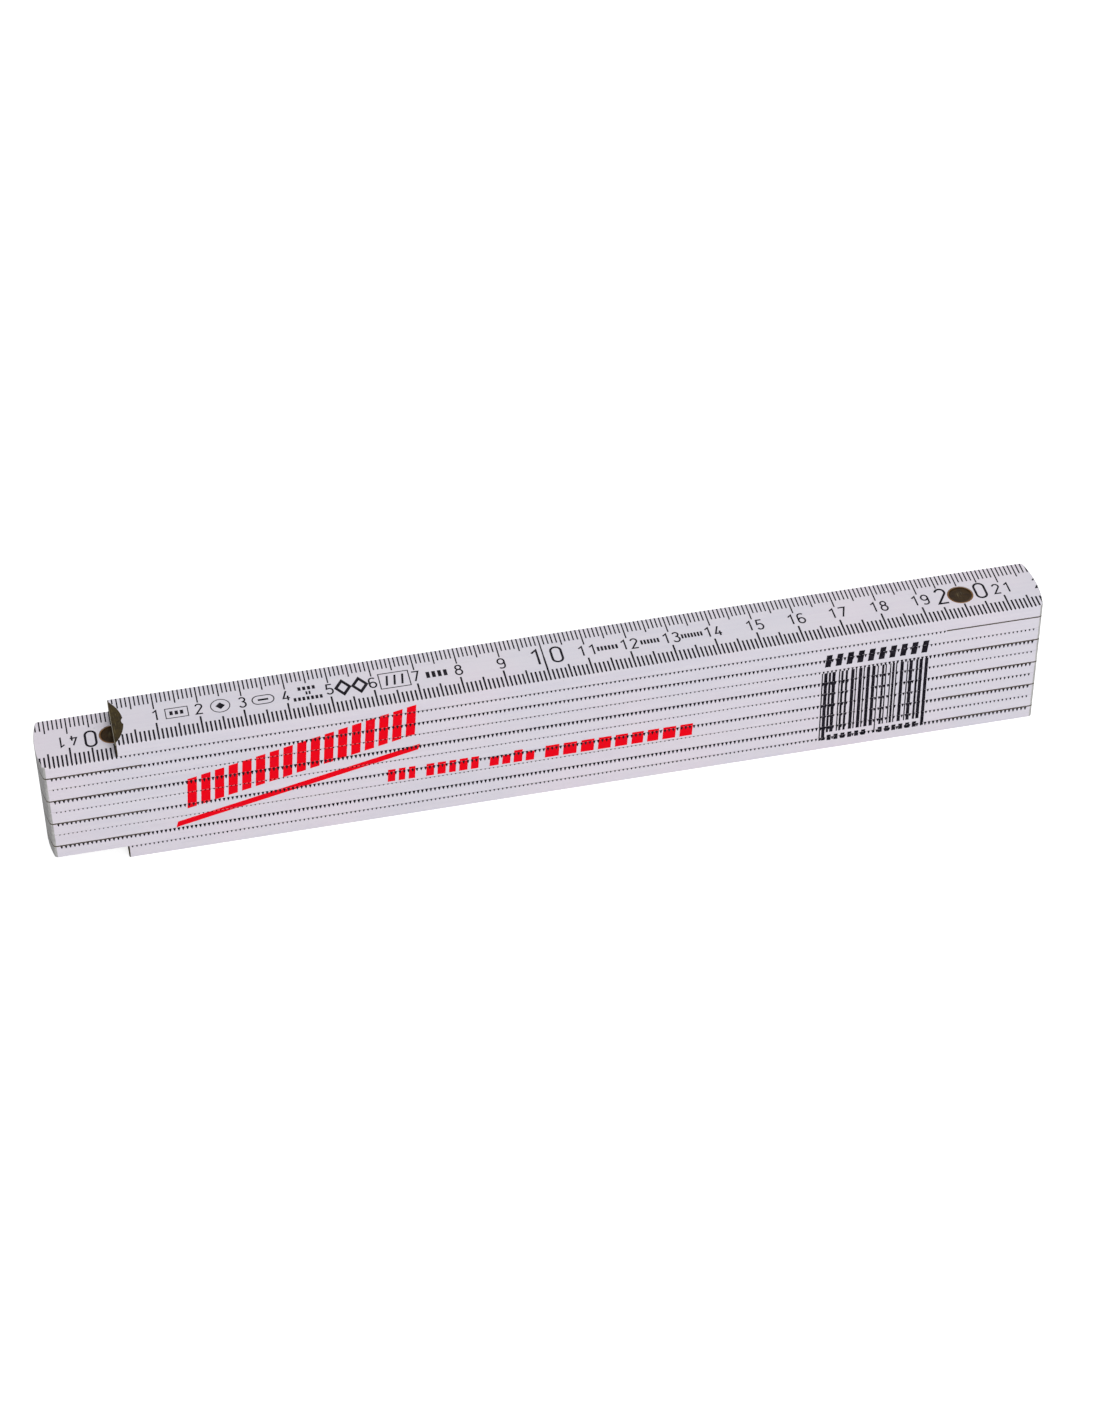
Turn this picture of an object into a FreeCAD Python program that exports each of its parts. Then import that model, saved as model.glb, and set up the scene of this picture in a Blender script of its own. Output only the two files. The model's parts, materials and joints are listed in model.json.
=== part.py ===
import FreeCAD, Part
import math
import os

# A two-metre folding rule, folded flat: ten wooden leaves stacked one on another, each turning
# on the next about an upright rivet. Odd joints are at the right (+X) end of the stack and even
# joints at the left end, so the leaves open into one straight line in alternating steps.
#
# Frame, in millimetres: +X along the rule, +Z up through the stack. The origin is the middle of
# the stack's underside. Leaf 1 is on top and carries the zero mark at its left end; leaf 10 is
# at the bottom. Joint N joins leaf N, above, to leaf N + 1, below.

Vector = FreeCAD.Vector

# Leaves
LEAF_COUNT = 10
PIVOT_SPACING = 200.0     # one leaf carries 20 cm of scale from pivot to pivot
LEAF_WIDTH = 16.0
LEAF_THICKNESS = 3.42
LEAF_GAP = 0.06           # air between the flat faces of two folded leaves
LEFT_OVERHANG = 17.8      # from a left pivot to the tip of the bowed end beyond it
RIGHT_OVERHANG = 18.8
END_BOW_RADIUS = 30.0     # plan radius of a bowed end
BOWED_CORNER_RADIUS = 0.9
SQUARE_CORNER_RADIUS = 0.4
ARRIS_RADIUS = 0.12       # sanded round on every long edge

# Joint faces, cut a little below the leaf's flat so that the scale print is not rubbed off
RELIEF_REACH = 5.5        # from the pivot towards the middle of the leaf
RELIEF_DEPTH = 0.15

# Steel plates let into the two faces of a joint
PLATE_THICKNESS = 0.6
PLATE_WIDTH = 11.0
PLATE_TO_END = 9.0        # from the pivot towards the leaf's end
PLATE_TO_MIDDLE = 16.0    # from the pivot towards the leaf's middle
PLATE_CORNER_RADIUS = 2.5
PLATE_ALLOWANCE = 0.05    # all round, between a plate and its pocket
DETENTS = 4               # the joint clicks at every quarter turn
RIB_INNER_RADIUS = 2.4
RIB_OUTER_RADIUS = 4.9
RIB_WIDTH = 0.9
RIB_HEIGHT = 0.3
NOTCH_DEPTH = 0.2
COLLAR_RADIUS = 2.1       # raised ring on the spring plate, round the rivet
COLLAR_CLEARANCE = 0.02

# Rivet and closing disc
HEAD_RADIUS = 3.05
HEAD_THICKNESS = 0.6
HEAD_SINK = 0.03          # the head lies this far below the leaf's face
HEAD_CHAMFER = 0.12
DISH_RADIUS = 2.7
DISH_DEPTH = 0.12
SHANK_RADIUS = 1.5
TAIL_RADIUS = 1.1         # the part of the rivet that is closed over the disc
RUNNING_CLEARANCE = 0.05
FIXED_CLEARANCE = 0.02

# Plate nails, two to a plate
NAIL_TO_END = 6.6         # from the pivot
NAIL_TO_MIDDLE = 12.6
NAIL_HEAD_RADIUS = 1.1
NAIL_SHANK_RADIUS = 0.6
NAIL_HEAD_DEPTH = 0.45
NAIL_LENGTH = 2.2
NAIL_CLEARANCE = 0.01

# Brass cap on each of the rule's two outer ends
CAP_SHEET = 0.3
CAP_CHORD = 14.8          # width of a cap's tab where it folds over the end
CAP_TAB_DEPTH = 2.75
CAP_BITE_RADIUS = 1.5     # scallop that leaves two teeth at the tip of the tab
CAP_BITE_DEPTH = 0.45

# Worked out from the sizes above
LEAF_PITCH = LEAF_THICKNESS + LEAF_GAP
LENGTH = LEFT_OVERHANG + PIVOT_SPACING + RIGHT_OVERHANG
LEFT_TIP = -LENGTH / 2
RIGHT_TIP = LENGTH / 2
LEFT_PIVOT = LEFT_TIP + LEFT_OVERHANG
RIGHT_PIVOT = RIGHT_TIP - RIGHT_OVERHANG
ZERO_MARK = LEFT_PIVOT    # outer face of the caps
HALF_WIDTH = LEAF_WIDTH / 2
JOINT_GAP = LEAF_GAP + 2 * RELIEF_DEPTH
LEAVES = range(1, LEAF_COUNT + 1)
JOINTS = range(1, LEAF_COUNT)
MARGIN = 1.0              # how far a cutting tool runs past the surface it starts from


def leaf_bottom(leaf):
    return (LEAF_COUNT - leaf) * LEAF_PITCH


def leaf_top(leaf):
    return leaf_bottom(leaf) + LEAF_THICKNESS


def pivot_x(joint):
    return RIGHT_PIVOT if joint % 2 else LEFT_PIVOT


def to_middle(joint):
    """Direction along X from a joint's pivot towards the middle of its leaves."""
    return -1 if joint % 2 else 1


def upper_face(joint):
    """Height of the relieved underside of the joint's upper leaf."""
    return leaf_bottom(joint) + RELIEF_DEPTH


def lower_face(joint):
    """Height of the relieved top of the joint's lower leaf."""
    return leaf_top(joint + 1) - RELIEF_DEPTH


def box(x_one, x_two, half_width, z_low, z_high):
    corner = Vector(min(x_one, x_two), -half_width, z_low)
    return Part.makeBox(abs(x_two - x_one), 2 * half_width, z_high - z_low, corner)


def upright_cylinder(radius, x, z_low, z_high):
    return Part.makeCylinder(radius, z_high - z_low, Vector(x, 0, z_low))


def turned(points, x):
    """Solid of revolution about the upright line at x, from (radius, height) points."""
    wire = Part.makePolygon([Vector(x + r, 0, z) for r, z in points + points[:1]])
    return Part.Face(wire).revolve(Vector(x, 0, 0), Vector(0, 0, 1), 360)


def upright_edges(solid, left_of=math.inf, right_of=-math.inf):
    return [
        edge
        for edge in solid.Edges
        if abs(edge.tangentAt(edge.FirstParameter).z) > 0.99
        and right_of < edge.CenterOfMass.x < left_of
    ]


def level_edges(solid):
    return [edge for edge in solid.Edges if edge.BoundBox.ZLength < 1e-6]


def leaf_end(tip, outward, bowed):
    """A leaf's end in plan: its two corners and the edge between them."""
    bow = END_BOW_RADIUS - math.sqrt(END_BOW_RADIUS**2 - HALF_WIDTH**2)
    corner_x = tip - outward * bow if bowed else tip
    front = Vector(corner_x, -HALF_WIDTH, 0)
    back = Vector(corner_x, HALF_WIDTH, 0)
    if bowed:
        return front, back, Part.Arc(front, Vector(tip, 0, 0), back).toShape()
    return front, back, Part.makeLine(front, back)


def leaf_blank(leaf):
    """The leaf before its joints are cut. Only the first and last have a square left end."""
    bowed = leaf not in (1, LEAF_COUNT)
    left_tip = LEFT_TIP if bowed else ZERO_MARK
    left_front, left_back, left_edge = leaf_end(left_tip, -1, bowed)
    right_front, right_back, right_edge = leaf_end(RIGHT_TIP, 1, True)
    front_edge = Part.makeLine(left_front, right_front)
    back_edge = Part.makeLine(left_back, right_back)
    outline = Part.Wire(Part.__sortEdges__([left_edge, front_edge, right_edge, back_edge]))
    blank = Part.Face(outline).extrude(Vector(0, 0, LEAF_THICKNESS))

    blank = blank.makeFillet(BOWED_CORNER_RADIUS, upright_edges(blank, right_of=0))
    left_radius = BOWED_CORNER_RADIUS if bowed else SQUARE_CORNER_RADIUS
    blank = blank.makeFillet(left_radius, upright_edges(blank, left_of=0))
    blank = blank.makeFillet(ARRIS_RADIUS, level_edges(blank))
    blank.translate(Vector(0, 0, leaf_bottom(leaf)))
    return blank


def relief(joint, z_low, z_high):
    start = pivot_x(joint) + to_middle(joint) * RELIEF_REACH
    end = pivot_x(joint) - to_middle(joint) * (RIGHT_OVERHANG + MARGIN)
    return box(start, end, HALF_WIDTH + MARGIN, z_low, z_high)


def plate_strip(joint, z_low, z_high, allowance=0.0):
    """Round-cornered strip along the leaf, reaching past the pivot on both sides."""
    inward = to_middle(joint)
    near_end = pivot_x(joint) - inward * (PLATE_TO_END + allowance)
    near_middle = pivot_x(joint) + inward * (PLATE_TO_MIDDLE + allowance)
    strip = box(near_end, near_middle, PLATE_WIDTH / 2 + allowance, z_low, z_high)
    return strip.makeFillet(PLATE_CORNER_RADIUS, upright_edges(strip))


def nail(x, z_face, into_wood, grow=0.0):
    """Countersunk nail driven from a plate's face; grow gives the hole it sits in."""
    direction = Vector(0, 0, into_wood)
    start = Vector(x, 0, z_face)
    head = Part.makeCone(
        NAIL_HEAD_RADIUS + grow, NAIL_SHANK_RADIUS + grow, NAIL_HEAD_DEPTH + grow, start, direction
    )
    shank = Part.makeCylinder(NAIL_SHANK_RADIUS + grow, NAIL_LENGTH + grow, start, direction)
    return head.fuse(shank).removeSplitter()


def nail_places(joint):
    inward = to_middle(joint)
    return [pivot_x(joint) - inward * NAIL_TO_END, pivot_x(joint) + inward * NAIL_TO_MIDDLE]


def upper_nails(joint, grow=0.0):
    return [nail(x, upper_face(joint), 1, grow) for x in nail_places(joint)]


def lower_nails(joint, grow=0.0):
    return [nail(x, lower_face(joint), -1, grow) for x in nail_places(joint)]


def radial_bars(joint, z_axis, radius):
    """One lying bar for each detent, pointing away from the pivot."""
    bars = []
    for step in range(DETENTS):
        angle = 2 * math.pi * step / DETENTS
        away = Vector(math.cos(angle), math.sin(angle), 0)
        start = Vector(pivot_x(joint), 0, z_axis) + away * RIB_INNER_RADIUS
        bars.append(Part.makeCylinder(radius, RIB_OUTER_RADIUS - RIB_INNER_RADIUS, start, away))
    return bars


def bar_radius(width, height):
    """Radius of a bar whose cap of this height is this wide at its foot."""
    return ((width / 2) ** 2 + height**2) / (2 * height)


def upper_leaf_tools(joint):
    """What joint N cuts out of leaf N: rivet hole, head seat, plate pocket and relief."""
    x = pivot_x(joint)
    bottom = leaf_bottom(joint)
    top = leaf_top(joint)
    pocket_roof = upper_face(joint) + PLATE_THICKNESS
    seat = top - HEAD_SINK - HEAD_THICKNESS
    return [
        relief(joint, bottom - MARGIN, upper_face(joint)),
        plate_strip(joint, bottom - MARGIN, pocket_roof, PLATE_ALLOWANCE),
        upright_cylinder(SHANK_RADIUS + FIXED_CLEARANCE, x, bottom - MARGIN, top + MARGIN),
        upright_cylinder(HEAD_RADIUS + RUNNING_CLEARANCE, x, seat, top + MARGIN),
    ] + upper_nails(joint, NAIL_CLEARANCE)


def lower_leaf_tools(joint):
    """What joint N cuts out of leaf N + 1: rivet hole, disc seat, plate pocket and relief."""
    x = pivot_x(joint)
    bottom = leaf_bottom(joint + 1)
    top = leaf_top(joint + 1)
    pocket_floor = lower_face(joint) - PLATE_THICKNESS
    seat = bottom + HEAD_SINK + HEAD_THICKNESS + RUNNING_CLEARANCE
    return [
        relief(joint, lower_face(joint), top + MARGIN),
        plate_strip(joint, pocket_floor, top + MARGIN, PLATE_ALLOWANCE),
        upright_cylinder(SHANK_RADIUS + RUNNING_CLEARANCE, x, bottom - MARGIN, top + MARGIN),
        upright_cylinder(HEAD_RADIUS + RUNNING_CLEARANCE, x, bottom - MARGIN, seat),
    ] + lower_nails(joint, NAIL_CLEARANCE)


def cap_space(leaf):
    """The skin of a square end that its cap takes up: the end face and a tab on each side."""
    bottom = leaf_bottom(leaf)
    top = leaf_top(leaf)
    arc_radius = ((CAP_CHORD / 2) ** 2 + CAP_TAB_DEPTH**2) / (2 * CAP_TAB_DEPTH)
    tip = ZERO_MARK + CAP_TAB_DEPTH
    tab = upright_cylinder(arc_radius, tip - arc_radius, bottom - MARGIN, top + MARGIN)
    bite_x = tip - CAP_BITE_DEPTH + CAP_BITE_RADIUS
    tab = tab.cut(upright_cylinder(CAP_BITE_RADIUS, bite_x, bottom - MARGIN, top + MARGIN))
    wood_between = box(
        ZERO_MARK - 3 * arc_radius, tip + MARGIN, arc_radius, bottom + CAP_SHEET, top - CAP_SHEET
    )
    end_face = box(ZERO_MARK - MARGIN, ZERO_MARK + CAP_SHEET, LEAF_WIDTH, bottom - MARGIN, top + MARGIN)
    return tab.cut(wood_between).fuse(end_face)


def make_leaf(leaf):
    tools = []
    if leaf in JOINTS:
        tools += upper_leaf_tools(leaf)
    if leaf - 1 in JOINTS:
        tools += lower_leaf_tools(leaf - 1)
    if leaf in (1, LEAF_COUNT):
        tools.append(cap_space(leaf))
    body = leaf_blank(leaf)
    for tool in tools:
        body = body.cut(tool)
    return body


def make_end_cap(leaf):
    return leaf_blank(leaf).common(cap_space(leaf)).removeSplitter()


def make_pivot_rivet(joint):
    """Fixed in the upper leaf; its shank is the axle of the lower leaf."""
    top = leaf_top(joint) - HEAD_SINK
    bottom = leaf_bottom(joint + 1) + HEAD_SINK
    shoulder = bottom + HEAD_THICKNESS
    return turned(
        [
            (0, top - DISH_DEPTH),
            (DISH_RADIUS - 2 * DISH_DEPTH, top - DISH_DEPTH),
            (DISH_RADIUS, top),
            (HEAD_RADIUS - HEAD_CHAMFER, top),
            (HEAD_RADIUS, top - HEAD_CHAMFER),
            (HEAD_RADIUS, top - HEAD_THICKNESS),
            (SHANK_RADIUS, top - HEAD_THICKNESS),
            (SHANK_RADIUS, shoulder),
            (TAIL_RADIUS, shoulder),
            (TAIL_RADIUS, bottom),
            (0, bottom),
        ],
        pivot_x(joint),
    )


def make_closing_disc(joint):
    """Held on the rivet's tail, in a seat in the lower leaf's underside."""
    bottom = leaf_bottom(joint + 1) + HEAD_SINK
    shoulder = bottom + HEAD_THICKNESS
    bore = TAIL_RADIUS + FIXED_CLEARANCE
    return turned(
        [
            (bore, bottom),
            (HEAD_RADIUS - HEAD_CHAMFER, bottom),
            (HEAD_RADIUS, bottom + HEAD_CHAMFER),
            (HEAD_RADIUS, shoulder),
            (bore, shoulder),
        ],
        pivot_x(joint),
    )


def make_detent_plate(joint):
    """Plate in the upper leaf's underside, with a notch for each click position."""
    face = upper_face(joint)
    plate = plate_strip(joint, face, face + PLATE_THICKNESS)
    hole = SHANK_RADIUS + FIXED_CLEARANCE
    plate = plate.cut(upright_cylinder(hole, pivot_x(joint), face - MARGIN, face + MARGIN))
    radius = bar_radius(RIB_WIDTH, NOTCH_DEPTH)
    notches = radial_bars(joint, face + NOTCH_DEPTH - radius, radius)
    for tool in notches + upper_nails(joint, NAIL_CLEARANCE):
        plate = plate.cut(tool)
    return plate


def make_spring_plate(joint):
    """Plate in the lower leaf's top, with four ribs and a collar round the rivet."""
    x = pivot_x(joint)
    face = lower_face(joint)
    plate = plate_strip(joint, face - PLATE_THICKNESS, face)
    radius = bar_radius(RIB_WIDTH, RIB_HEIGHT)
    above = box(x - PLATE_WIDTH, x + PLATE_WIDTH, PLATE_WIDTH, face - RIB_HEIGHT, face + RIB_HEIGHT)
    for bar in radial_bars(joint, face + RIB_HEIGHT - radius, radius):
        plate = plate.fuse(bar.common(above))
    collar_top = face + JOINT_GAP - COLLAR_CLEARANCE
    plate = plate.fuse(upright_cylinder(COLLAR_RADIUS, x, face - RIB_HEIGHT, collar_top))
    bore = SHANK_RADIUS + RUNNING_CLEARANCE
    plate = plate.cut(upright_cylinder(bore, x, face - MARGIN, face + MARGIN))
    for tool in lower_nails(joint, NAIL_CLEARANCE):
        plate = plate.cut(tool)
    return plate.removeSplitter()


def make_plate_nails(leaf):
    """All the nails of one leaf, as separate solids."""
    nails = []
    if leaf in JOINTS:
        nails += upper_nails(leaf)
    if leaf - 1 in JOINTS:
        nails += lower_nails(leaf - 1)
    return Part.makeCompound(nails)


def save(node, shape):
    shape.exportStep(f"parts/{node}.step")


os.makedirs("parts", exist_ok=True)
for leaf in LEAVES:
    save(f"leaf_{leaf:02d}", make_leaf(leaf))
    save(f"plate_nails_{leaf:02d}", make_plate_nails(leaf))
for joint in JOINTS:
    save(f"pivot_rivet_{joint:02d}", make_pivot_rivet(joint))
    save(f"closing_disc_{joint:02d}", make_closing_disc(joint))
    save(f"detent_plate_{joint:02d}", make_detent_plate(joint))
    save(f"spring_plate_{joint:02d}", make_spring_plate(joint))
save("zero_end_cap", make_end_cap(1))
save("far_end_cap", make_end_cap(LEAF_COUNT))
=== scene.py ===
"""A ten-leaf folding rule, folded: its printed scales and edge marks, lacquer, brass and steel."""

import json
import math
import random

import bmesh
import bpy
from mathutils import Matrix, Vector


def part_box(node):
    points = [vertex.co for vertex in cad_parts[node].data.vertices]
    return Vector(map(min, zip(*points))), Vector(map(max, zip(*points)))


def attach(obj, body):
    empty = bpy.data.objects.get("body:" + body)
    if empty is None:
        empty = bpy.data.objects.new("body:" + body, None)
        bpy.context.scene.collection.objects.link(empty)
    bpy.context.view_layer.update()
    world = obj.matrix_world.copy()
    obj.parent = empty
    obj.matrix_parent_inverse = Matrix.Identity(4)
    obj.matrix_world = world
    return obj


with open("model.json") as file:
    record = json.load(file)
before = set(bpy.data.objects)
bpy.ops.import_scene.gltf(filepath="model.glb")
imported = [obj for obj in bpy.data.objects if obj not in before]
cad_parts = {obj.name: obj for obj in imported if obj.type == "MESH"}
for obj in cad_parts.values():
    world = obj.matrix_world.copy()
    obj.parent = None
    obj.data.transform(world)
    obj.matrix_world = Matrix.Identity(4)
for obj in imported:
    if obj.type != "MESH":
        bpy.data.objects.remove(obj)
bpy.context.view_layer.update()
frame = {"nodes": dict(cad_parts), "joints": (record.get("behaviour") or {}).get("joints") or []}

MM = 0.001
SEED = 7

# ---------------------------------------------------------------- sizes taken from the frame
LEAF_COUNT = sum(node.startswith("leaf_") for node in frame["nodes"])
LEAVES = range(1, LEAF_COUNT + 1)
PIVOTS = {joint["name"]: joint["pos_m"][0] for joint in frame["joints"]}
RIGHT_PIVOT = PIVOTS["fold_01"]
LEFT_PIVOT = PIVOTS["fold_02"]
BOXES = {leaf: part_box(f"leaf_{leaf:02d}") for leaf in LEAVES}
STACK_TOP = BOXES[1][1].z
STACK_RIGHT = BOXES[1][1].x
STACK_LEFT = BOXES[2][0].x
RIVET_RADIUS = (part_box("pivot_rivet_01")[1].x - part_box("pivot_rivet_01")[0].x) / 2
CAP_TAB_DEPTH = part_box("zero_end_cap")[1].x - LEFT_PIVOT
LEAF_THICKNESS = BOXES[1][1].z - BOXES[1][0].z
LEAF_PITCH = BOXES[1][0].z - BOXES[2][0].z

# The leaf's section and plan, in metres
HALF_WIDTH = 8.0 * MM
ARRIS = 0.12 * MM
RELIEF = 0.15 * MM
RELIEF_REACH = 5.5 * MM
BOW_RADIUS = 30.0 * MM
CORNER_RADIUS = 0.9 * MM
CORNER_CENTRE = HALF_WIDTH - CORNER_RADIUS   # off the leaf's middle line
CORNER_RUN = BOW_RADIUS - math.sqrt((BOW_RADIUS - CORNER_RADIUS) ** 2 - CORNER_CENTRE**2)
CAP_HALF_CHORD = 7.4 * MM
LEAF_SCALE = 200          # millimetres of scale on each leaf, from pivot to pivot

# Ink
INK_RAISE = 0.012 * MM    # the print stands this far proud of the lacquer
INK_SINK = 0.006 * MM
INK_LAYER = 0.003 * MM    # a mark crossing another lies this much above it
FRONT_TICK_WIDTH = 0.43 * MM   # the scale is printed heavier along the folded stack's front
BACK_TICK_WIDTH = 0.32 * MM
TICK_LENGTHS = {1: 3.5 * MM, 5: 4.5 * MM, 10: 5.6 * MM}
PIVOT_TICK_LENGTH = 4.7 * MM
MARK_WIDTHS = (0.24 * MM, 0.66 * MM)   # of a faint and of a heavy mark on the leaf's side
MARK_REACHES = (0.02 * MM, 0.84 * MM)  # down that side, below the arris
MARK_TIP_WIDTH = 0.14 * MM
CAP_CLEARANCE = 0.25 * MM
EDGE_MARK_CLEARANCE = 0.01 * MM  # below a relieved joint face
TICK_TO_TIP = 0.5  # millimetres, at least, from the last tick to the leaf's tip
TICK_TO_FIGURE = 2  # millimetres, at least, from the first tick to the first figure's own
FIGURE_TO_TIP = 1.5 * ARRIS  # figures are cut off this far from the leaf's tip
MITRE_LIMIT = 2
ARRIS_TURNS = (0, 30, 60)  # degrees round the arris where front print is folded
BLACK = 0
RED = 1


# ---------------------------------------------------------------- ink marks as thin closed solids
class Ink:
    """Thin closed marks of ink, gathered into one mesh."""

    def __init__(self):
        self.points = []
        self.faces = []
        self.colours = []

    def face(self, corners, colour):
        self.faces.append(corners)
        self.colours.append(colour)

    def sweep(self, sections, closed=False):
        """Joins a chain of four-cornered sections into one black solid."""
        start = len(self.points)
        count = len(sections)
        for section in sections:
            self.points.extend(section)
        for i in range(count if closed else count - 1):
            here = start + 4 * i
            there = start + 4 * ((i + 1) % count)
            for side in range(4):
                after = (side + 1) % 4
                self.face((here + side, here + after, there + after, there + side), BLACK)
        if not closed:
            last = start + 4 * (count - 1)
            self.face(tuple(start + side for side in (3, 2, 1, 0)), BLACK)
            self.face(tuple(last + side for side in range(4)), BLACK)

    def slab(self, place, outline, colour=BLACK):
        """A flat mark with straight edges."""
        start = len(self.points)
        count = len(outline)
        for u, v in outline:
            self.points.append(place(u, v, INK_RAISE))
        for u, v in outline:
            self.points.append(place(u, v, -INK_SINK))
        self.face(tuple(start + i for i in range(count)), colour)
        self.face(tuple(start + count + i for i in reversed(range(count))), colour)
        for i in range(count):
            after = (i + 1) % count
            self.face((start + i, start + count + i, start + count + after, start + after), colour)

    def line(self, place, path, width, closed=False):
        """A black pen line of even width along a path of (u, v) points."""
        sections = []
        for left, right in pen_edges(path, width / 2, closed):
            sections.append(
                [
                    place(left.x, left.y, INK_RAISE),
                    place(right.x, right.y, INK_RAISE),
                    place(right.x, right.y, -INK_SINK),
                    place(left.x, left.y, -INK_SINK),
                ]
            )
        self.sweep(sections, closed)

    def build(self, name, body, inks):
        mesh = bpy.data.meshes.new(name)
        mesh.from_pydata(self.points, [], self.faces)
        mesh.polygons.foreach_set("material_index", self.colours)
        for ink in inks:
            mesh.materials.append(ink)
        shell = bmesh.new()
        shell.from_mesh(mesh)
        bmesh.ops.recalc_face_normals(shell, faces=shell.faces)
        shell.to_mesh(mesh)
        shell.free()
        piece = bpy.data.objects.new(name, mesh)
        bpy.context.scene.collection.objects.link(piece)
        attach(piece, body)


def pen_edges(path, half, closed):
    """The two edges of a pen line, mitred at each point of its path."""
    points = [Vector(point) for point in path]
    count = len(points)
    edges = []
    for i, point in enumerate(points):
        before = points[i - 1] if closed or i > 0 else None
        after = points[(i + 1) % count] if closed or i < count - 1 else None
        into = (point - before).normalized() if before is not None else (after - point).normalized()
        out = (after - point).normalized() if after is not None else into
        normal = Vector((-into.y - out.y, into.x + out.x)).normalized()
        stretch = 1 / max(normal.dot(Vector((-into.y, into.x))), 1 / MITRE_LIMIT)
        edges.append((point + normal * half * stretch, point - normal * half * stretch))
    return edges


# ---------------------------------------------------------------- numerals, as pen strokes
GLYPH_WIDTH = 0.46        # of the height, between the middles of the strokes
GLYPH_RADIUS = GLYPH_WIDTH / 2
ARC_STEP = 20             # degrees


def arc(x, y, rx, ry, start, end):
    steps = max(2, round(abs(end - start) / ARC_STEP))
    angles = [math.radians(start + (end - start) * i / steps) for i in range(steps + 1)]
    return [(x + rx * math.cos(a), y + ry * math.sin(a)) for a in angles]


def ellipse(x, y, rx, ry):
    return arc(x, y, rx, ry, 0, 360)[:-1]


def glyph_strokes(digit):
    """(path, closed) strokes of a digit, one unit high."""
    w = GLYPH_WIDTH
    r = GLYPH_RADIUS
    six = [
        (arc(r, 1 - r, r, r, 40, 180) + [(0, 0.3)], False),
        (ellipse(r, 0.28, r, 0.28), True),
    ]
    strokes = {
        "0": [(arc(r, r, r, r, 180, 360) + arc(r, 1 - r, r, r, 0, 180), True)],
        "1": [([(0.1, 0.8), (0.34, 1), (0.34, 0)], False)],
        "2": [(arc(r, 0.76, r * 0.96, 0.24, 165, -25) + [(0.01, 0), (w, 0)], False)],
        "3": [(arc(0.21, 0.78, 0.2, 0.22, 155, -80) + arc(0.21, 0.28, r, 0.28, 80, -155), False)],
        "4": [([(0.27, 1), (0.01, 0.25), (w, 0.25)], False), ([(0.33, 0.5), (0.33, 0)], False)],
        "5": [([(0.42, 1), (0.07, 1), (0.04, 0.55)] + arc(0.22, 0.3, r, 0.3, 118, -150), False)],
        "6": six,
        "7": [([(0, 1), (w, 1), (0.15, 0)], False)],
        "8": [(ellipse(r, 0.77, 0.19, 0.22), True), (ellipse(r, 0.275, r, 0.275), True)],
        "9": [([(w - x, 1 - y) for x, y in path], closed) for path, closed in six],
    }
    return strokes[digit]


def runs_before(path, limit):
    """The stretches of an open path that lie before limit along u."""
    runs = []
    run = []
    for i, (u, v) in enumerate(path):
        before_u, before_v = path[i - 1]
        if i > 0 and (before_u < limit) != (u < limit):
            share = (limit - before_u) / (u - before_u)
            run.append((limit, before_v + share * (v - before_v)))
            if u >= limit:
                runs.append(run)
                run = []
        if u < limit:
            run.append((u, v))
    return runs + [run] if len(run) > 1 else runs


def lifted(place, lift):
    """The same layout of a face, a little above it."""
    return lambda u, v, h: place(u, v, h + lift)


def draw_digit(ink, place, digit, centre_u, base_v, height, pen, limit):
    """One digit; the part of it past limit, at the leaf's end, is left out."""
    size = height - pen
    for layer, (path, closed) in enumerate(glyph_strokes(digit)):
        stroke_place = lifted(place, layer * INK_LAYER)
        points = [
            (centre_u + (x - GLYPH_RADIUS) * size, base_v + pen / 2 + y * size) for x, y in path
        ]
        if max(u for u, v in points) < limit:
            ink.line(stroke_place, points, pen, closed)
            continue
        for run in runs_before(points, limit):
            ink.line(stroke_place, run, pen)


class Numerals:
    """A size of figure, and where its digits stand about their mark, in millimetres."""

    def __init__(self, height, pen, base, pitch, left, right):
        self.height = height * MM
        self.pen = pen * MM
        self.base = base * MM
        self.pitch = pitch * MM
        self.left = left * MM
        self.right = right * MM

    def draw(self, ink, place, value, u, limit):
        """The last digit stands right of the mark and the others left of it."""
        text = str(value)
        if len(text) == 1:
            centres = [u]
        else:
            before = len(text) - 1
            centres = [u + self.left - self.pitch * (before - 1 - i) for i in range(before)]
            centres.append(u + self.right)
        for digit, centre in zip(text, centres):
            draw_digit(ink, place, digit, centre, self.base, self.height, self.pen, limit)


CENTIMETRES = Numerals(height=3.7, pen=0.40, base=-1.7, pitch=2.45, left=-1.15, right=1.4)
TENS = Numerals(height=5.7, pen=0.54, base=-2.45, pitch=3.4, left=-1.9, right=3.1)
TENS_AT_PIVOT = Numerals(height=5.7, pen=0.54, base=-2.4, pitch=3.4, left=-4.55, right=5.0)


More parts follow.
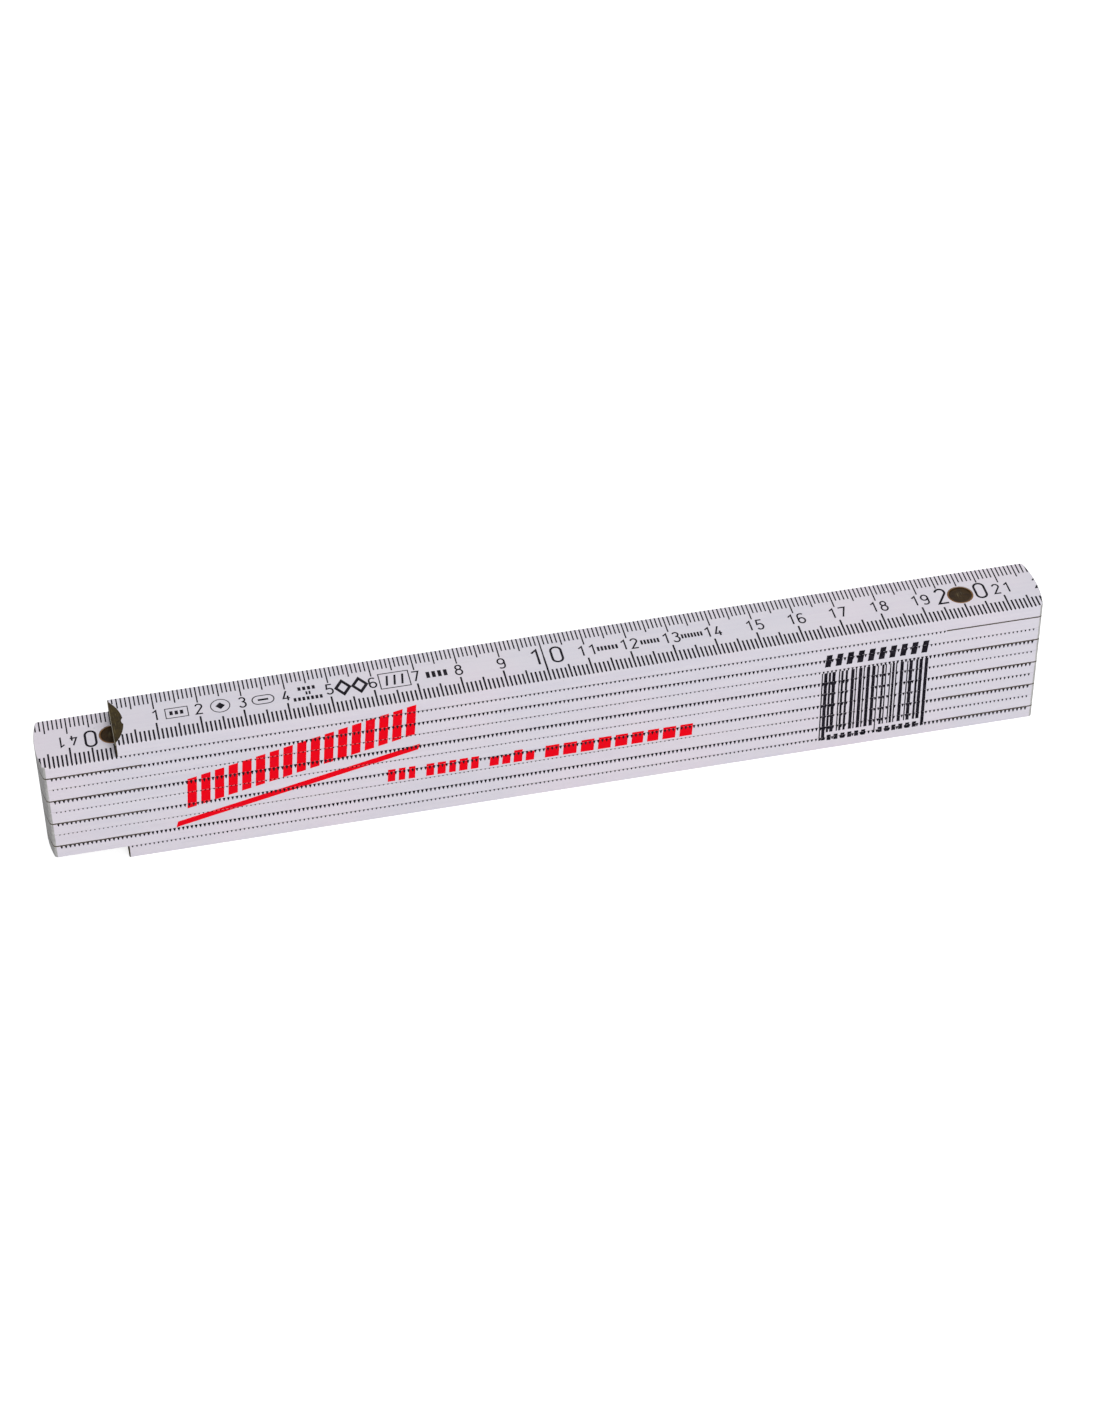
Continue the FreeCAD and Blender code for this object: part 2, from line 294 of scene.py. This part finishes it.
# ---------------------------------------------------------------- scales
class Scale:
    """One face of one leaf, with its print laid out in (u, v): u runs along the way the scale
    reads, from the end that comes first, and v across, up the figures."""

    def __init__(self, leaf, face):
        self.face = face
        self.order = leaf if face == "top" else LEAF_COUNT + 1 - leaf
        self.forward = self.order % 2 == 1
        self.side = 1 if self.forward else -1
        self.start = LEFT_PIVOT if self.forward else RIGHT_PIVOT
        low, high = BOXES[leaf]
        self.height = high.z if face == "top" else low.z
        self.first_tip = STACK_LEFT - LEFT_PIVOT if self.forward else RIGHT_PIVOT - STACK_RIGHT
        self.tip = STACK_RIGHT - LEFT_PIVOT if self.forward else RIGHT_PIVOT - STACK_LEFT
        if self.order == LEAF_COUNT:
            self.tip = LEAF_SCALE * MM

    def place(self, u, v, h):
        """The point at (u, v), h above the face."""
        up = 1 if self.face == "top" else -1
        return Vector((self.start + self.side * u, up * self.side * v, self.height + up * h))

    def flat_half_width(self, u):
        """Half the width of the leaf's flat face at u: it narrows at a bowed end."""
        full = HALF_WIDTH - ARRIS
        if self.order == LEAF_COUNT:
            return full
        bow_centre = self.tip - BOW_RADIUS
        bow_radius = BOW_RADIUS - ARRIS
        corner_u = self.tip - CORNER_RUN
        bow_starts = bow_centre + (BOW_RADIUS - CORNER_RUN) * bow_radius / (BOW_RADIUS - CORNER_RADIUS)
        if u <= corner_u:
            return full
        if u <= bow_starts:
            return CORNER_CENTRE + math.sqrt((CORNER_RADIUS - ARRIS) ** 2 - (u - corner_u) ** 2)
        return math.sqrt(bow_radius**2 - (u - bow_centre) ** 2)

    def tick_width(self, across):
        at_front = self.place(0, across, 0).y < 0
        return FRONT_TICK_WIDTH if at_front else BACK_TICK_WIDTH

    def inner_limit(self, u):
        """How near the middle a tick may come: clear of the tab of an end cap."""
        from_cap = {1: u, LEAF_COUNT: self.tip - u}.get(self.order, CAP_TAB_DEPTH)
        if from_cap >= CAP_TAB_DEPTH:
            return 0.0
        radius = (CAP_HALF_CHORD**2 + CAP_TAB_DEPTH**2) / (2 * CAP_TAB_DEPTH)
        return math.sqrt(radius**2 - (from_cap - CAP_TAB_DEPTH + radius) ** 2) + CAP_CLEARANCE


class EdgeMarks:
    """How ticks run over the arris onto the leaf's side. They are heavy near the scale's first
    joint and lighter towards the far one; on leaves 1 and 2 they are even all along."""

    def __init__(self, leaf, dice):
        if leaf <= 2:
            self.near = self.far = 0.45 * (leaf - 1)
            self.fading_starts, self.fading_ends = 0, LEAF_SCALE * MM
        elif leaf % 2 == 1:
            self.near = dice.uniform(0.8, 1.0)
            self.far = dice.uniform(0.3, 0.7)
            self.fading_starts, self.fading_ends = 170 * MM, 205 * MM
        else:
            self.near = 1.0
            self.far = 0.35 if leaf == LEAF_COUNT else dice.uniform(0.05, 0.2)
            self.fading_starts, self.fading_ends = 5 * MM, 55 * MM

    def shape(self, u):
        """Width at the top and reach down the side of the mark at u."""
        share = (u - self.fading_starts) / (self.fading_ends - self.fading_starts)
        weight = self.near + (self.far - self.near) * min(max(share, 0), 1)
        return [low + weight * (high - low) for low, high in (MARK_WIDTHS, MARK_REACHES)]


def cross_section(scale, u, across, v, h, out_v, out_h, width):
    """Four corners of a tick's section at (v, h), whose outward direction is (out_v, out_h)."""
    corners = []
    for side, depth in ((-1, INK_RAISE), (1, INK_RAISE), (1, -INK_SINK), (-1, -INK_SINK)):
        corners.append(
            scale.place(u + side * width / 2, across * (v + out_v * depth), h + out_h * depth)
        )
    return corners


def draw_tick(ink, scale, u, across, length, marks):
    """One tick in from the edge on side across, and over the arris if there are marks. At a bowed
    end it is cut off along the edge."""
    pen = scale.tick_width(across)
    left = u - pen / 2
    right = u + pen / 2
    inner = max(HALF_WIDTH - length, scale.inner_limit(u))
    flat_end = HALF_WIDTH - ARRIS
    if scale.flat_half_width(right) < flat_end:
        outline = [(left, inner), (right, inner)]
        outline += [(right, scale.flat_half_width(right)), (left, scale.flat_half_width(left))]
        ink.slab(scale.place, [(x, across * v) for x, v in outline])
        return
    stations = [(inner, 0, 0, 1, pen), (flat_end, 0, 0, 1, pen)]
    if marks:
        width, reach = marks.shape(u)
        for angle in (30, 60, 90):
            over = math.sin(math.radians(angle))
            level = math.cos(math.radians(angle))
            stations.append((flat_end + ARRIS * over, ARRIS * (level - 1), over, level, width))
        stations.append((HALF_WIDTH, -ARRIS - reach, 1, 0, MARK_TIP_WIDTH))
    ink.sweep([cross_section(scale, u, across, *station) for station in stations])


def draw_edge_mark(ink, scale, u, across, marks):
    """The mark of a tick on the leaf's side alone, below the relieved joint face."""
    width, reach = marks.shape(u)
    stations = [
        (HALF_WIDTH, -RELIEF - EDGE_MARK_CLEARANCE, 1, 0, width),
        (HALF_WIDTH, -RELIEF - reach, 1, 0, MARK_TIP_WIDTH),
    ]
    ink.sweep([cross_section(scale, u, across, *station) for station in stations])


def tick_length(millimetre):
    if millimetre == LEAF_SCALE:
        return PIVOT_TICK_LENGTH
    if millimetre % (LEAF_SCALE / 2) == 0:
        return HALF_WIDTH
    for step in (10, 5):
        if millimetre % step == 0:
            return TICK_LENGTHS[step]
    return TICK_LENGTHS[1]


def draw_scale(ink, leaf, face):
    """Ticks along both edges and figures at every centimetre."""
    scale = Scale(leaf, face)
    marks = EdgeMarks(leaf, random.Random(SEED * 100 + leaf)) if face == "top" else None
    first = 1 if scale.order == 1 else math.ceil((RELIEF_REACH + FRONT_TICK_WIDTH) / MM)
    last = math.floor(scale.tip / MM - TICK_TO_TIP)
    for millimetre in range(first, last + 1):
        u = millimetre * MM
        length = tick_length(millimetre)
        for across in (-1, 1):
            draw_tick(ink, scale, u, across, length, marks)
    if face == "top" and leaf > 2:
        straight = scale.first_tip + CORNER_RUN + MARK_WIDTHS[1] / 2
        for millimetre in range(math.ceil(straight / MM), first):
            for across in (-1, 1):
                draw_edge_mark(ink, scale, millimetre * MM, across, marks)
    draw_figures(ink, scale, first, last)


def draw_figures(ink, scale, first, last):
    before = (scale.order - 1) * LEAF_SCALE // 10
    for centimetre in range(math.ceil((first + TICK_TO_FIGURE) / 10), 1 + math.ceil(last / 10)):
        if centimetre * 10 * MM == scale.tip:
            continue
        value = before + centimetre
        style = CENTIMETRES
        if value % 10 == 0:
            style = TENS if centimetre * 10 % LEAF_SCALE else TENS_AT_PIVOT
        style.draw(ink, scale.place, value, centimetre * 10 * MM, scale.tip - FIGURE_TO_TIP)


# ---------------------------------------------------------------- generic marks on the first leaf
def in_mm(points):
    return [(u * MM, v * MM) for u, v in points]


def block(ink, place, left, right, bottom, top, lean=0.0):
    corners = [(left, bottom), (right, bottom), (right + lean, top), (left + lean, top)]
    ink.slab(place, in_mm(corners))


def block_row(ink, place, left, right, middle, height, count):
    """Evenly spaced upright blocks, where the real rule has a line of small type."""
    pitch = (right - left) / count
    for i in range(count):
        start = left + i * pitch
        block(ink, place, start, start + 0.62 * pitch, middle - height / 2, middle + height / 2)


def frame_line(ink, place, left, right, bottom, top, pen):
    ink.line(place, in_mm([(left, bottom), (right, bottom), (right, top), (left, top)]), pen * MM, True)


def draw_marks(ink):
    """Plain shapes that stand where the first leaf has its marks and small type. Millimetres along
    the leaf and up from its middle."""
    place = Scale(1, "top").place
    frame_line(ink, place, 12.4, 17.5, -1.55, 1.75, 0.22)
    block_row(ink, place, 13.3, 16.9, 0.1, 1.3, 3)

    ring = [(24.9 + x, 0.15 + y) for x, y in ellipse(0, 0, 2.2, 2.2)]
    ink.line(place, in_mm(ring), 0.22 * MM, True)
    ink.slab(place, in_mm([(24.9, -1.0), (26.0, 0.15), (24.9, 1.3), (23.8, 0.15)]))

    oval = arc(33.6, 0.1, 1.4, 1.45, 90, 270) + arc(35.8, 0.1, 1.4, 1.45, -90, 90)
    ink.line(place, in_mm(oval), 0.26 * MM, True)
    block(ink, place, 33.5, 35.9, -0.2, 0.4)

    block_row(ink, place, 42.9, 47.3, 1.8, 1.2, 4)
    block_row(ink, place, 44.5, 45.9, 0.1, 1.1, 2)
    block_row(ink, place, 41.5, 48.5, -1.7, 1.2, 7)

    for middle in (53.1, 57.0):
        diamond = [(middle, -2.2), (middle + 1.6, 0.1), (middle, 2.4), (middle - 1.6, 0.1)]
        ink.line(place, in_mm(diamond), 0.75 * MM, True)

    frame_line(ink, place, 61.6, 68.5, -2.5, 2.7, 0.25)
    for start in (62.8, 64.6, 66.4):
        block(ink, place, start, start + 0.5, -1.6, 1.8, lean=0.5)

    block_row(ink, place, 72.4, 77.8, 0.0, 2.1, 4)
    block_row(ink, place, 112.6, 117.8, 0.1, 1.5, 6)
    block_row(ink, place, 122.9, 127.6, 0.1, 1.5, 6)
    block_row(ink, place, 132.6, 137.9, 0.1, 1.5, 7)


# ---------------------------------------------------------------- print on the stack's front
def bar(colour, left, right, low, high, lean=0.0, rise=0.0):
    """A (colour, outline) mark on the folded stack's front that can lean and climb to the right.
    Millimetres: x from the zero mark and z from the stack's top, negative below it."""
    climb = rise * (right - left)
    outline = [(left, low), (right, low + climb), (right + lean, high + climb), (left + lean, high)]
    return colour, outline


def hatched_band():
    """A climbing row of slanted bars over a stripe."""
    marks = []
    for i in range(17):
        left = 14.5 + 3.2 * i
        foot = -22.3 + 0.72 * i
        marks.append(bar(RED, left, left + 2.2, foot, foot + 9.0, lean=0.7, rise=0.2))
    marks.append(bar(RED, 11.5, 68.5, -27.6, -25.9, lean=0.5, rise=0.22))
    return marks


def red_blocks(dice):
    """A level row of blocks in groups, bolder from its middle on."""
    marks = []
    left = 61.0
    while left < 134:
        bold = left > 95
        width = dice.uniform(2.6, 3.6) if bold else dice.uniform(1.5, 2.3)
        top = -20.1 if bold else dice.choice((-20.0, -21.0))
        marks.append(bar(RED, left, left + width, -23.7, top, lean=0.25))
        left += width + (1.0 if bold else 0.8) + (1.8 if dice.random() < 0.15 else 0)
    return marks


def black_blocks():
    marks = []
    for i in range(10):
        left = 165.2 + 2.6 * i
        marks.append(bar(BLACK, left, left + 1.4, -9.1, -5.5, lean=0.4))
    return marks


def bar_code(dice):
    """A made-up code: random bars, longer at both ends and in the middle, over two rows of blocks."""
    marks = []
    left = 164.6
    while left < 190.4:
        width = dice.choice((0.3, 0.3, 0.55, 0.8))
        guard = left < 165.6 or left > 189.4 or 176.9 < left < 178.2
        marks.append(bar(BLACK, left, left + width, -32.0 if guard else -29.6, -10.9))
        left += width + dice.choice((0.3, 0.3, 0.5, 0.8))
    for i in range(6):
        marks.append(bar(BLACK, 166.6 + 1.7 * i, 167.6 + 1.7 * i, -32.2, -30.5))
        marks.append(bar(BLACK, 179.2 + 1.7 * i, 180.2 + 1.7 * i, -32.2, -30.5))
    return marks


def front_print():
    """Plain bars and blocks that stand for the maker's print."""
    dice = random.Random(SEED)
    return hatched_band() + red_blocks(dice) + black_blocks() + bar_code(dice)


def clipped(outline, low, high):
    """The part of a convex outline between two heights."""
    for limit, keep_above in ((low, True), (high, False)):
        result = []
        for i, (x, z) in enumerate(outline):
            before_x, before_z = outline[i - 1]
            inside = (z >= limit) == keep_above
            was_inside = (before_z >= limit) == keep_above
            if inside != was_inside:
                share = (limit - before_z) / (z - before_z)
                result.append((before_x + share * (x - before_x), limit))
            if inside:
                result.append((x, z))
        outline = result
    return outline


def draw_front(ink, leaf, marks):
    """The slice of the front print that falls on one leaf: its flat side and both arrises. It lies
    under the edge marks."""
    low, high = (corner.z - STACK_TOP for corner in BOXES[leaf])
    flat_low = low + ARRIS
    flat_high = high - ARRIS

    def place(u, v, h):
        centre = min(max(v, flat_low), flat_high)
        climb = (v - centre) / ARRIS
        reach = ARRIS + h - INK_LAYER
        back = reach * math.sqrt(max(1 - climb**2, 0))
        return Vector((LEFT_PIVOT + u, ARRIS - HALF_WIDTH - back, STACK_TOP + centre + reach * climb))

    turns = [ARRIS * math.sin(math.radians(angle)) for angle in ARRIS_TURNS]
    levels = [flat_low - turn for turn in reversed(turns)] + [flat_high + turn for turn in turns]
    for colour, outline in marks:
        for bottom, top in zip(levels, levels[1:]):
            piece = clipped(outline, bottom / MM, top / MM)
            if len(piece) > 2:
                ink.slab(place, in_mm(piece), colour)


# ---------------------------------------------------------------- materials
class Recipe:
    """One procedural material, put together node by node."""

    def __init__(self, name):
        self.material = bpy.data.materials.new(name)
        self.material.use_nodes = True
        self.tree = self.material.node_tree
        self.surface = self.tree.nodes["Principled BSDF"]
        self.place = self.add("ShaderNodeTexCoord").outputs["Object"]
        self.normal = self.place.node.outputs["Normal"]

    def add(self, kind, inputs=None, **properties):
        node = self.tree.nodes.new(kind)
        for name, value in properties.items():
            setattr(node, name, value)
        for name, value in (inputs or {}).items():
            self.feed(node.inputs[name], value)
        return node

    def feed(self, socket, value):
        if isinstance(value, bpy.types.NodeSocket):
            self.tree.links.new(value, socket)
        else:
            socket.default_value = value

    def stretched(self, scale, shift=(0, 0, 0)):
        inputs = {"Vector": self.place, "Scale": scale, "Location": shift}
        return self.add("ShaderNodeMapping", inputs).outputs["Vector"]

    def noise(self, scale, detail=3.0, vector=None, roughness=0.55):
        inputs = {
            "Vector": vector or self.place,
            "Scale": scale,
            "Detail": detail,
            "Roughness": roughness,
        }
        return self.add("ShaderNodeTexNoise", inputs).outputs["Fac"]

    def span(self, value, low, high, to_low=0.0, to_high=1.0):
        """value from low to high, spread over to_low to to_high and held there outside."""
        inputs = {
            "Value": value,
            "From Min": low,
            "From Max": high,
            "To Min": to_low,
            "To Max": to_high,
        }
        return self.add("ShaderNodeMapRange", inputs, clamp=True).outputs["Result"]

    def maths(self, operation, first, second=0.0):
        node = self.add("ShaderNodeMath", operation=operation)
        self.feed(node.inputs[0], first)
        self.feed(node.inputs[1], second)
        return node.outputs[0]

    def blend(self, share, first, second):
        node = self.add("ShaderNodeMix", data_type="RGBA")
        self.feed(node.inputs[0], share)
        self.feed(node.inputs[6], first)
        self.feed(node.inputs[7], second)
        return node.outputs[2]

    def axes(self, vector):
        return self.add("ShaderNodeSeparateXYZ", {"Vector": vector}).outputs

    def radius_from(self, x):
        """Distance from the upright line through x on the rule's middle."""
        across = self.axes(self.place)
        along = self.maths("SUBTRACT", across["X"], x)
        squares = self.maths(
            "ADD", self.maths("MULTIPLY", along, along), self.maths("MULTIPLY", across["Y"], across["Y"])
        )
        return self.maths("SQRT", squares)

    def bump(self, height, distance, strength=1.0):
        inputs = {"Height": height, "Distance": distance, "Strength": strength}
        self.feed(self.surface.inputs["Normal"], self.add("ShaderNodeBump", inputs).outputs["Normal"])

    def finish(self, colour, roughness, metallic=0.0):
        self.feed(self.surface.inputs["Base Color"], colour)
        self.feed(self.surface.inputs["Roughness"], roughness)
        self.surface.inputs["Metallic"].default_value = metallic
        return self.material


def lacquered_wood():
    """Cool white lacquer over close grain: faint streaks, cloudy tint and rubbed edges. Painted shade: the
    cut ends are drawn grey with end-grain streaks, and relieved joint faces and pockets dark brown, as
    unlacquered wood and as shade."""
    r = Recipe("lacquered_wood")
    streaks = r.noise(900, 4, r.stretched((0.05, 1, 1)))
    pores = r.noise(5200, 2, r.stretched((0.025, 1, 1)))
    clouds = r.noise(45, 3)
    specks = r.noise(1500, 1, r.stretched((1, 1, 1), (0.3, 0, 0)))

    tint = r.blend(r.span(clouds, 0.38, 0.62), (0.603, 0.582, 0.650, 1), (0.650, 0.594, 0.664, 1))
    colour = r.blend(r.span(streaks, 0.35, 0.65, 0.0, 0.5), tint, (0.665, 0.635, 0.68, 1))
    colour = r.blend(r.span(pores, 0.60, 0.74, 0.0, 0.28), colour, (0.50, 0.49, 0.50, 1))
    colour = r.blend(r.span(specks, 0.755, 0.775, 0.0, 0.4), colour, (0.36, 0.35, 0.38, 1))
    leaf = r.maths("FLOOR", r.maths("DIVIDE", r.axes(r.place)["Z"], LEAF_PITCH))
    shade = r.add("ShaderNodeTexWhiteNoise", {"W": leaf}, noise_dimensions="1D").outputs["Value"]
    colour = r.blend(r.span(shade, 0, 1, 0.0, 0.09), colour, (0.45, 0.43, 0.47, 1))

    facing = r.axes(r.normal)
    rounded = r.maths("MULTIPLY", r.maths("ABSOLUTE", facing["Y"]), r.maths("ABSOLUTE", facing["Z"]))
    rubbed = r.maths("MULTIPLY", r.span(rounded, 0.12, 0.45), r.span(clouds, 0.45, 0.62))
    colour = r.blend(r.maths("MULTIPLY", rubbed, 0.35), colour, (0.55, 0.49, 0.40, 1))

    # Painted shade: the relieved joint faces and pocket floors inside the stack are drawn dark brown,
    # partly as unlacquered wood and partly as the shade that falls in these recesses.
    level = r.maths("MODULO", r.axes(r.place)["Z"], LEAF_PITCH)
    below_top = r.span(level, LEAF_THICKNESS - 0.05 * MM, LEAF_THICKNESS - 0.1 * MM)
    recess_wood_and_shade_mask = r.maths("MULTIPLY", r.span(level, 0.05 * MM, 0.1 * MM), below_top)
    recess_wood_and_shade_mask = r.maths("MULTIPLY", recess_wood_and_shade_mask, r.span(r.maths("ABSOLUTE", facing["Z"]), 0.8, 0.95))
    recess_wood_and_shade_colour = r.blend(streaks, (0.19, 0.150, 0.11, 1), (0.11, 0.086, 0.062, 1))
    colour = r.blend(recess_wood_and_shade_mask, colour, recess_wood_and_shade_colour)

    # Painted shade: faces turned to either end of the rule are drawn grey, well below the lacquer's white,
    # streaked like end grain.
    end_shade_mask = r.span(r.maths("ABSOLUTE", facing["X"]), 0.14, 0.2)
    end_grain = r.noise(2600, 3, r.stretched((1, 1, 0.35)))
    end_grain_shade_colour = r.blend(r.span(end_grain, 0.35, 0.65), (0.31, 0.306, 0.30, 1), (0.46, 0.455, 0.445, 1))
    colour = r.blend(end_shade_mask, colour, end_grain_shade_colour)

    r.bump(r.maths("ADD", pores, r.maths("MULTIPLY", streaks, 0.6)), 0.02 * MM, 0.5)
    return r.finish(colour, r.span(streaks, 0.3, 0.7, 0.36, 0.5))


def ink(name, full, thin, worn):
    """Printed ink: even, with thin patches and a few worn spots."""
    r = Recipe(name)
    body = r.blend(r.span(r.noise(900, 4), 0.4, 0.7), full, thin)
    spots = r.noise(420, 5, roughness=0.7)
    colour = r.blend(r.span(spots, 0.68, 0.74, 0.0, 0.6), body, worn)
    r.surface.inputs["Specular IOR Level"].default_value = 0.03
    return r.finish(colour, 0.5)


def rivet_brass(name, pivot):
    """Darkened brass with a rubbed middle and a painted copper highlight in a ring at the head's edge,
    about its own pivot.
    """
    r = Recipe(name)
    radius = r.radius_from(pivot)
    clouds = r.noise(700, 5, roughness=0.65)
    scratches = r.noise(2400, 3, r.stretched((1, 0.12, 1)))
    colour = r.blend(r.span(clouds, 0.35, 0.68), (0.018, 0.008, 0.002, 1), (0.045, 0.024, 0.006, 1))
    middle = r.maths("MULTIPLY", r.span(radius, 1.5 * MM, 0.2 * MM), r.span(scratches, 0.52, 0.62))
    colour = r.blend(r.maths("MULTIPLY", middle, 0.45), colour, (0.20, 0.17, 0.09, 1))
    # Painted highlight: a copper-bright ring just inside the head's edge.
    rim_highlight_mask = r.span(radius, RIVET_RADIUS - 0.34 * MM, RIVET_RADIUS - 0.2 * MM)
    colour = r.blend(r.maths("MULTIPLY", rim_highlight_mask, 0.6), colour, (0.42, 0.21, 0.08, 1))
    r.bump(r.maths("ADD", clouds, scratches), 0.02 * MM, 0.6)
    r.surface.inputs["Specular IOR Level"].default_value = 0.08
    return r.finish(colour, r.span(clouds, 0.3, 0.7, 0.42, 0.6), 0.3)


def cap_brass():
    """Dull olive brass with draw marks across the rule."""
    r = Recipe("cap_brass")
    clouds = r.noise(500, 5, roughness=0.7)
    marks = r.noise(3800, 2, r.stretched((1, 0.06, 0.5)))
    colour = r.blend(r.span(clouds, 0.35, 0.7), (0.020, 0.012, 0.002, 1), (0.062, 0.041, 0.009, 1))
    colour = r.blend(r.span(marks, 0.6, 0.72, 0.0, 0.5), colour, (0.24, 0.20, 0.08, 1))
    facing = r.axes(r.normal)
    fold = r.maths("MULTIPLY", r.maths("ABSOLUTE", facing["X"]), r.maths("ABSOLUTE", facing["Z"]))
    colour = r.blend(r.span(fold, 0.15, 0.45, 0.0, 0.8), colour, (0.55, 0.52, 0.44, 1))
    r.bump(r.maths("ADD", clouds, marks), 0.02 * MM, 0.6)
    r.surface.inputs["Specular IOR Level"].default_value = 0.1
    return r.finish(colour, r.span(clouds, 0.3, 0.7, 0.42, 0.62), 0.35)


RUBBED_RADIUS = 5.2 * MM  # of the plates, round the pivot
RUBBED_FADE = 0.6 * MM
RING_FREQUENCY = 26000  # radians per metre, so rings a quarter of a millimetre apart


def plated_steel(name, pivot):
    """Brass-plated spring steel, rubbed bright in rings where the joint turns."""
    r = Recipe(name)
    radius = r.radius_from(pivot)
    grain = r.noise(3000, 3, r.stretched((0.06, 1, 1)))
    rings = r.maths("SINE", r.maths("MULTIPLY", radius, RING_FREQUENCY))
    rubbed = r.span(radius, RUBBED_RADIUS, RUBBED_RADIUS - RUBBED_FADE)
    worn = r.maths("MULTIPLY", rubbed, r.span(rings, -0.2, 1.0))
    colour = r.blend(r.span(grain, 0.35, 0.65), (0.42, 0.32, 0.14, 1), (0.55, 0.43, 0.20, 1))
    colour = r.blend(r.maths("MULTIPLY", worn, 0.6), colour, (0.62, 0.60, 0.55, 1))
    r.bump(grain, 0.01 * MM, 0.5)
    return r.finish(colour, r.span(grain, 0.3, 0.7, 0.28, 0.42), 0.9)


def nail_steel():
    r = Recipe("nail_steel")
    clouds = r.noise(1800, 4)
    colour = r.blend(r.span(clouds, 0.35, 0.65), (0.36, 0.35, 0.33, 1), (0.50, 0.49, 0.46, 1))
    r.bump(clouds, 0.01 * MM, 0.4)
    return r.finish(colour, r.span(clouds, 0.3, 0.7, 0.35, 0.5), 0.85)


def dress_nodes():
    """Gives every CAD node its material."""
    wood = lacquered_wood()
    caps = cap_brass()
    nails = nail_steel()
    sides = {
        "right": (rivet_brass("rivet_brass_right", RIGHT_PIVOT), plated_steel("plate_right", RIGHT_PIVOT)),
        "left": (rivet_brass("rivet_brass_left", LEFT_PIVOT), plated_steel("plate_left", LEFT_PIVOT)),
    }
    for name, node in frame["nodes"].items():
        kind, _, number = name.rpartition("_")
        brass, plate = sides["right" if number.isdigit() and int(number) % 2 else "left"]
        choice = {
            "leaf": wood,
            "plate_nails": nails,
            "pivot_rivet": brass,
            "closing_disc": brass,
            "detent_plate": plate,
            "spring_plate": plate,
        }.get(kind, caps)
        for slot in node.material_slots:
            slot.material = choice


def print_leaves():
    """Scales on both faces of every leaf and the front print on the leaves' sides."""
    black = ink("black_ink", (0.006, 0.005, 0.009, 1), (0.022, 0.019, 0.027, 1), (0.20, 0.19, 0.22, 1))
    red = ink("red_ink", (0.77, 0.0005, 0.007, 1), (0.70, 0.002, 0.014, 1), (0.76, 0.12, 0.15, 1))
    marks = front_print()
    for leaf in LEAVES:
        body = f"section_{leaf:02d}"
        scales = Ink()
        for face in ("top", "under"):
            draw_scale(scales, leaf, face)
        if leaf == 1:
            draw_marks(scales)
        scales.build(f"scale_print_{leaf:02d}", body, [black])
        front = Ink()
        draw_front(front, leaf, marks)
        front.build(f"front_print_{leaf:02d}", body, [black, red])


# ---------------------------------------------------------------- stage, light and camera
FLOOR_SIZE = 14.0
FLOOR_DROP = 0.02 * MM
FLOOR_GLOW = 0.75
LENS = 85.5
CAMERA_TARGET = Vector((-0.0021, -0.0138, 0.0305))
CAMERA_DISTANCE = 0.770
CAMERA_AZIMUTH = 11.69    # degrees, from +Y towards +X
CAMERA_TILT = 41.55       # degrees below level
CAMERA_ROLL = 0.89


def floor():
    """A pale floor that looks evenly white, yet throws little light back on the rule."""
    r = Recipe("studio_floor")
    tone = r.blend(r.noise(6, 2), (0.48, 0.48, 0.485, 1), (0.52, 0.52, 0.525, 1))
    seen = r.add("ShaderNodeLightPath").outputs["Is Camera Ray"]
    r.feed(r.surface.inputs["Emission Color"], (1, 1, 1, 1))
    r.feed(r.surface.inputs["Emission Strength"], r.maths("MULTIPLY", seen, FLOOR_GLOW))
    side = FLOOR_SIZE / 2
    corners = [(-side, -side), (side, -side), (side, side), (-side, side)]
    mesh = bpy.data.meshes.new("floor")
    mesh.from_pydata([Vector((x, y, -FLOOR_DROP)) for x, y in corners], [], [(0, 1, 2, 3)])
    mesh.materials.append(r.finish(tone, 0.7))
    plane = bpy.data.objects.new("floor", mesh)
    bpy.context.scene.collection.objects.link(plane)


def softbox(name, position, size, watts):
    light = bpy.data.lights.new(name, "AREA")
    light.shape = "DISK"
    light.size = size
    light.energy = watts
    lamp = bpy.data.objects.new(name, light)
    lamp.location = position
    lamp.rotation_euler = (-Vector(position)).to_track_quat("-Z", "Y").to_euler()
    bpy.context.scene.collection.objects.link(lamp)


def studio():
    world = bpy.data.worlds.new("studio")
    world.use_nodes = True
    sky = world.node_tree.nodes["Background"]
    sky.inputs["Color"].default_value = (0.985, 0.99, 1.0, 1)
    sky.inputs["Strength"].default_value = 0.5
    bpy.context.scene.world = world
    softbox("key", (0.35, -1.9, 1.05), 1.6, 36)
    softbox("overhead", (0.3, 0.4, 2.1), 1.4, 6)
    softbox("back", (0.4, 2.0, 0.6), 1.4, 15)
    floor()
    bpy.context.scene.view_settings.view_transform = "Standard"


def camera():
    lens = bpy.data.cameras.new("camera")
    lens.lens = LENS
    lens.sensor_width = 36.0
    lens.clip_start = 0.01
    azimuth = math.radians(CAMERA_AZIMUTH)
    tilt = math.radians(CAMERA_TILT)
    forward = Vector(
        (math.sin(azimuth) * math.cos(tilt), math.cos(azimuth) * math.cos(tilt), -math.sin(tilt))
    )
    right = forward.cross(Vector((0, 0, 1))).normalized()
    up = right.cross(forward)
    turn = Matrix.Rotation(math.radians(CAMERA_ROLL), 3, forward)
    axes = Matrix((turn @ right, turn @ up, -forward)).transposed().to_4x4()
    viewer = bpy.data.objects.new("camera", lens)
    viewer.matrix_world = Matrix.Translation(CAMERA_TARGET - forward * CAMERA_DISTANCE) @ axes
    bpy.context.scene.collection.objects.link(viewer)
    bpy.context.scene.camera = viewer


dress_nodes()
print_leaves()
studio()
camera()
